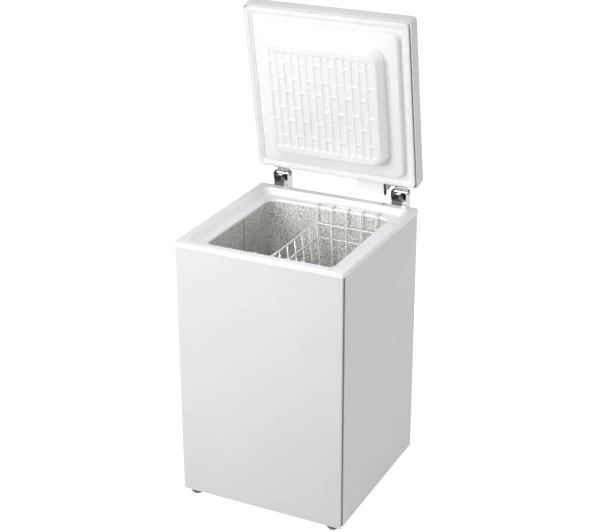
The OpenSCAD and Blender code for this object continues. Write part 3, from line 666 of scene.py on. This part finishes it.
def make_lid_skin():
    """Painted steel cover of the lid, with rolled edges and a short return under its rim."""
    sheet = 1.2 * MM
    # Each row: inset from the lid's edge and z in metres, corner radius in millimetres
    rows = [(RETURN_W, LID_Z + sheet, 8), (RETURN_W, LID_Z + 0.3 * MM, 8)]
    rows += [(RETURN_W - 0.5 * MM, LID_Z, 8.5)]
    rows += [(i, z, 11.5) for i, z in arc(1.5 * MM, LID_Z + 1.5 * MM, 1.5 * MM, 270, 180, 4)]
    roll = 6 * MM
    rows += [(0, LID_TOP - roll - 1.5 * MM, 12)]
    rows += [(i, z, 12 + 0.12 * i / MM) for i, z in arc(roll, LID_TOP - roll, roll, 180, 90, 8)]
    rows += [(14 * MM, LID_TOP, 14), (40 * MM, LID_TOP, 20)]
    rings = [rounded_ring(LID_W - 2 * i, LID_D - 2 * i, r * MM, z, LID_Y) for i, z, r in rows]
    points, faces = join_rings(rings, caps=(False, True))
    piece = to_mesh("lid_cover", points, faces, "lid", "white_paint", OPEN_LID)
    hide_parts("lid_skin")


def lid_ring(inset, z, r, shift=0.0):
    """Ring round the lid. The inset, corner radius and shift to the front are in millimetres."""
    w, d = LID_W - 2 * inset * MM, LID_D - 2 * inset * MM
    return rounded_ring(w, d, r * MM, z, LID_Y - shift * MM)


def make_gasket():
    """Hollow vinyl seal: a neck, a wider magnetic head and a lip that lies on the lid's border."""
    # Each point: inset from the lid's edge and height above its border, in millimetres
    profile = [(8.4, -0.2), (9.6, -0.6), (9.9, -4.6), (7.4, -5.4), (6.6, -6.6), (7.4, -8.1)]
    profile += [(8.6, -8.5), (15.6, -8.5), (17.2, -7.9), (17.8, -6.2), (18.7, -5.0), (20.6, -4.1)]
    profile += [(23.4, -3.4), (24.6, -2.6), (24.8, -1.8), (24.2, -1.2), (22.6, -0.9), (22.4, -0.2)]
    rings = [lid_ring(i, LID_Z + z * MM, 13 - 0.2 * i) for i, z in profile]
    points, faces = join_rings(rings, closed=True)
    piece = to_mesh("lid_seal", points, faces, "lid", "gasket", OPEN_LID, crease=50)
    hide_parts("lid_gasket")


def make_lid_groove():
    """Dark strip at the bottom of the groove between the rolled edge of the cover and the inner moulding: painted
    shade for the groove's shadow.
    """
    # Each point: inset from the lid's edge, height above its border and shift to the front
    profile = [(5.0, 1.2, 0), (5.0, 1.0, 0)]
    profile += [(GROOVE_INSET, 1.0, GROOVE_SHIFT), (GROOVE_INSET, 1.2, GROOVE_SHIFT)]
    rings = [lid_ring(i, LID_Z + z * MM, 8, shift) for i, z, shift in profile]
    points, faces = join_rings(rings, closed=True)
    to_mesh("lid_groove_shade", points, faces, "lid", "dark_grey_plastic", OPEN_LID)


# Basket


def fillet(points, r, steps=5):
    """Rounds the inner corners of a path."""
    path = [Vector(points[0])]
    for before, corner, after in zip(points, points[1:], points[2:]):
        corner = Vector(corner)
        u = (Vector(before) - corner).normalized()
        v = (Vector(after) - corner).normalized()
        angle = u.angle(v)
        shortest = min((Vector(before) - corner).length, (Vector(after) - corner).length)
        cut = min(r / math.tan(angle / 2), 0.45 * shortest)
        start, end = corner + u * cut, corner + v * cut
        for i in range(steps + 1):
            t = i / steps
            path.append((1 - t) ** 2 * start + 2 * t * (1 - t) * corner + t * t * end)
    path.append(Vector(points[-1]))
    return path


def tube(path, r, sides=10, closed=False):
    """Rings of a round wire along a path, carried along without twist."""
    rings = []
    count = len(path)
    side = None
    for i, place in enumerate(path):
        before = path[i - 1] if i > 0 or closed else path[0]
        after = path[(i + 1) % count] if i < count - 1 or closed else path[-1]
        along = (Vector(after) - Vector(before)).normalized()
        if side is None:
            side = along.orthogonal().normalized()
        side = (side - along * side.dot(along)).normalized()
        other = along.cross(side)
        rings.append([
            tuple(Vector(place) + r * (math.cos(a) * side + math.sin(a) * other))
            for a in (2 * math.pi * k / sides for k in range(sides))
        ])
    return rings


def wire_tip(ring, end, inner, r):
    """Smaller ring just past the end of a wire, which rounds the edge of its cut end."""
    outward = (end - inner).normalized() * r * 0.4
    return [tuple(end + (Vector(p) - end) * 0.5 + outward) for p in ring]


def add_wire(store, points, r, bend=4 * MM, closed=False, sides=10):
    """Adds a bent wire to the store of points and faces."""
    if closed:
        path = fillet([points[-1], *points, points[0]], bend)[1:-1]
    else:
        path = fillet(points, bend)
    rings = tube(path, r, sides, closed)
    if not closed:
        rings.insert(0, wire_tip(rings[0], path[0], path[1], r))
        rings.append(wire_tip(rings[-1], path[-1], path[-2], r))
    new_points, new_faces = join_rings(rings, closed=closed, caps=(not closed, not closed))
    start = len(store[0])
    store[0].extend(new_points)
    store[1].extend(tuple(start + i for i in face) for face in new_faces)


def make_basket():
    """Wire basket: three rings, wires under its floor, and hooks joined by a rail at each end."""
    low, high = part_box("basket")
    frame_r, thin_r, middle_r = 2.5 * MM, 1.7 * MM, 2.1 * MM
    rail_r = 2.4 * MM
    height = 200 * MM
    centre_x, centre_y = (low.x + high.x) / 2, (low.y + high.y) / 2
    rest_z = high.z - rail_r
    top = LEDGE_Z - 48 * MM - frame_r
    bottom = top - height + 2 * frame_r
    x0 = 206 * MM / 2 - frame_r
    lean = 20 * MM
    y = 396 * MM / 2 - frame_r
    reach = y + 28 * MM
    x1 = x0 - lean
    store = ([], [])

    def at(px, py, z):
        return Vector((centre_x + px, centre_y + py, z))

    def ring(z, r):
        x = x0 - lean * (top - z) / height
        corners = [at(-x, -y, z), at(x, -y, z), at(x, y, z), at(-x, y, z)]
        add_wire(store, corners, r, 9 * MM, closed=True, sides=12)

    ring(top, frame_r)
    ring(bottom, frame_r)
    ring(top - 45 * MM, middle_r)
    across, along = 4, 8
    lap = 0.85 * MM
    for i in range(1, across):
        t = 2 * i / across - 1
        low_z = bottom - lap
        path = [at(t * x0, -y, top), at(t * x1, -y, low_z), at(t * x1, y, low_z), at(t * x0, y, top)]
        add_wire(store, path, thin_r, 7 * MM)
    for i in range(1, along):
        t = 2 * i / along - 1
        low_z = bottom + lap
        path = [at(-x0, t * y, top), at(-x1, t * y, low_z), at(x1, t * y, low_z), at(x0, t * y, top)]
        add_wire(store, path, thin_r, 7 * MM)
    for sx in (-1, 1):
        for sy in (-1, 1):
            head = at(sx * (x0 - 3 * MM), sy * (y - 3 * MM), top)
            foot = at(sx * (x1 - 3 * MM), sy * (y - 3 * MM), bottom)
            add_wire(store, [head, foot], thin_r)
    for s in (-1, 1):
        for i in range(across + 1):
            px = x0 * (2 * i / across - 1) * 0.97
            path = [at(px, s * y, top - 2 * MM), at(px, s * (y + 1 * MM), rest_z)]
            path += [at(px, s * reach, rest_z)]
            add_wire(store, path, middle_r, 5 * MM)
        rail_x = x0 + 2 * MM
        rail = [at(-rail_x, s * reach, rest_z), at(rail_x, s * reach, rest_z)]
        add_wire(store, rail, rail_r, sides=12)
    piece = to_mesh("basket_wires", *store, "basket", "coated_wire", crease=60)
    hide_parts("basket")


# Small parts of the cabinet


def add_box(store, low, high):
    """Adds a box between two corners to the store of points and faces."""
    start = len(store[0])
    xs, ys, zs = zip(low, high)
    store[0].extend((x, y, z) for x in xs for y in ys for z in zs)
    sides = ((0, 1, 3, 2), (4, 6, 7, 5), (0, 4, 5, 1), (2, 3, 7, 6), (0, 2, 6, 4), (1, 5, 7, 3))
    store[1].extend(tuple(start + i for i in side) for side in sides)


def make_feet():
    """Ribbed screw-in feet with a rounded tread."""
    # Each point: radius and height above the floor, in millimetres
    profile = [(0.01, 0), (11.5, 0), (13.2, 0.8), (14.2, 2.4), (17, 4.4), (18.6, 7), (20.2, 11)]
    profile += [(21.4, 15), (21.9, 17), (21.4, 17.8), (9, 17.8), (4, 20.8), (0.01, 20.8)]
    ribs, rib_depth, steps = 22, 0.9, 176
    for corner in ("front_left", "front_right", "rear_left", "rear_right"):
        low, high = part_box(f"foot_{corner}")
        centre = (low + high) / 2
        rings = []
        for r, z in profile:
            depth = rib_depth if 3 < z < 17.5 else 0
            ring = []
            for i in range(steps):
                a = 2 * math.pi * i / steps
                out = (r - depth * (0.5 + 0.5 * math.cos(ribs * a))) * MM
                ring.append((centre.x + out * math.cos(a), centre.y + out * math.sin(a), z * MM))
            rings.append(ring)
        points, faces = join_rings(rings, caps=(True, True))
        piece = to_mesh(f"tread_{corner}", points, faces, "cabinet", "dark_grey_plastic")
        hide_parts(f"foot_{corner}")


def make_knob_mark():
    """Dark line along the pointer of the thermostat's knob."""
    low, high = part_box("thermostat_knob")
    middle = (low + high) / 2
    half_w = 0.9 * MM
    sunk, proud = 0.4 * MM, 0.12 * MM
    start, end = 2 * MM, 14.5 * MM
    store = ([], [])
    near_corner = (middle.x - half_w, high.y - sunk, middle.z + start)
    far_corner = (middle.x + half_w, high.y + proud, middle.z + end)
    add_box(store, near_corner, far_corner)
    to_mesh("knob_mark", *store, "knob", "dark_grey_plastic")


def make_corner_shade_strips():
    """Dark strips at the bottom of the grooves between the front sheet and the side sheets: painted shade that
    deepens the grooves' shadow.
    """
    low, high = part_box("front_panel")
    shade_strip_t = 0.7 * MM
    groove_depth = 3.9 * MM
    y0, y1 = low.y + 4.8 * MM, low.y + 15.8 * MM
    store = ([], [])
    for outer in (low.x, high.x):
        inward = math.copysign(1, -outer)
        x0, x1 = sorted((outer + inward * groove_depth, outer + inward * (groove_depth - shade_strip_t)))
        add_box(store, (x0, y0, low.z + 1 * MM), (x1, y1, high.z - 1 * MM))
    to_mesh("corner_shade_strips", *store, "cabinet", "dark_grey_plastic")


def make_liner_seam():
    """Bead where the two ends of the liner's sheet overlap, on the left wall, dark as painted shade for the
    shadowed slit of the overlap.
    """
    low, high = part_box("liner")
    x = low.x + 1 * MM
    y = CABINET_Y + 30 * MM
    z0, z1 = low.z + 4 * MM, high.z - 0.5 * MM
    bead = ([], [])
    path = [Vector((x + 0.2 * MM, y, z)) for z in (z0, (z0 + z1) / 2, z1)]
    add_wire(bead, path, 1.1 * MM, sides=8)
    to_mesh("liner_seam_shade", *bead, "cabinet", "dark_grey_plastic")


def finish_cad_nodes():
    """Gives every CAD node that stays in view the material of its record slot."""
    for part in frame["record"]["subparts"]:
        node = frame["nodes"][part["node"]]
        material = MATERIALS[part["material_slot"]]
        node.data.materials.clear()
        node.data.materials.append(material)


make_camera()
make_lights()
make_world()
make_floor()
MATERIALS = make_materials()
finish_cad_nodes()
make_collar()
make_collar_plug()
make_lid_liner()
make_lid_skin()
make_gasket()
make_lid_groove()
make_basket()
make_feet()
make_knob_mark()
make_corner_shade_strips()
make_liner_seam()
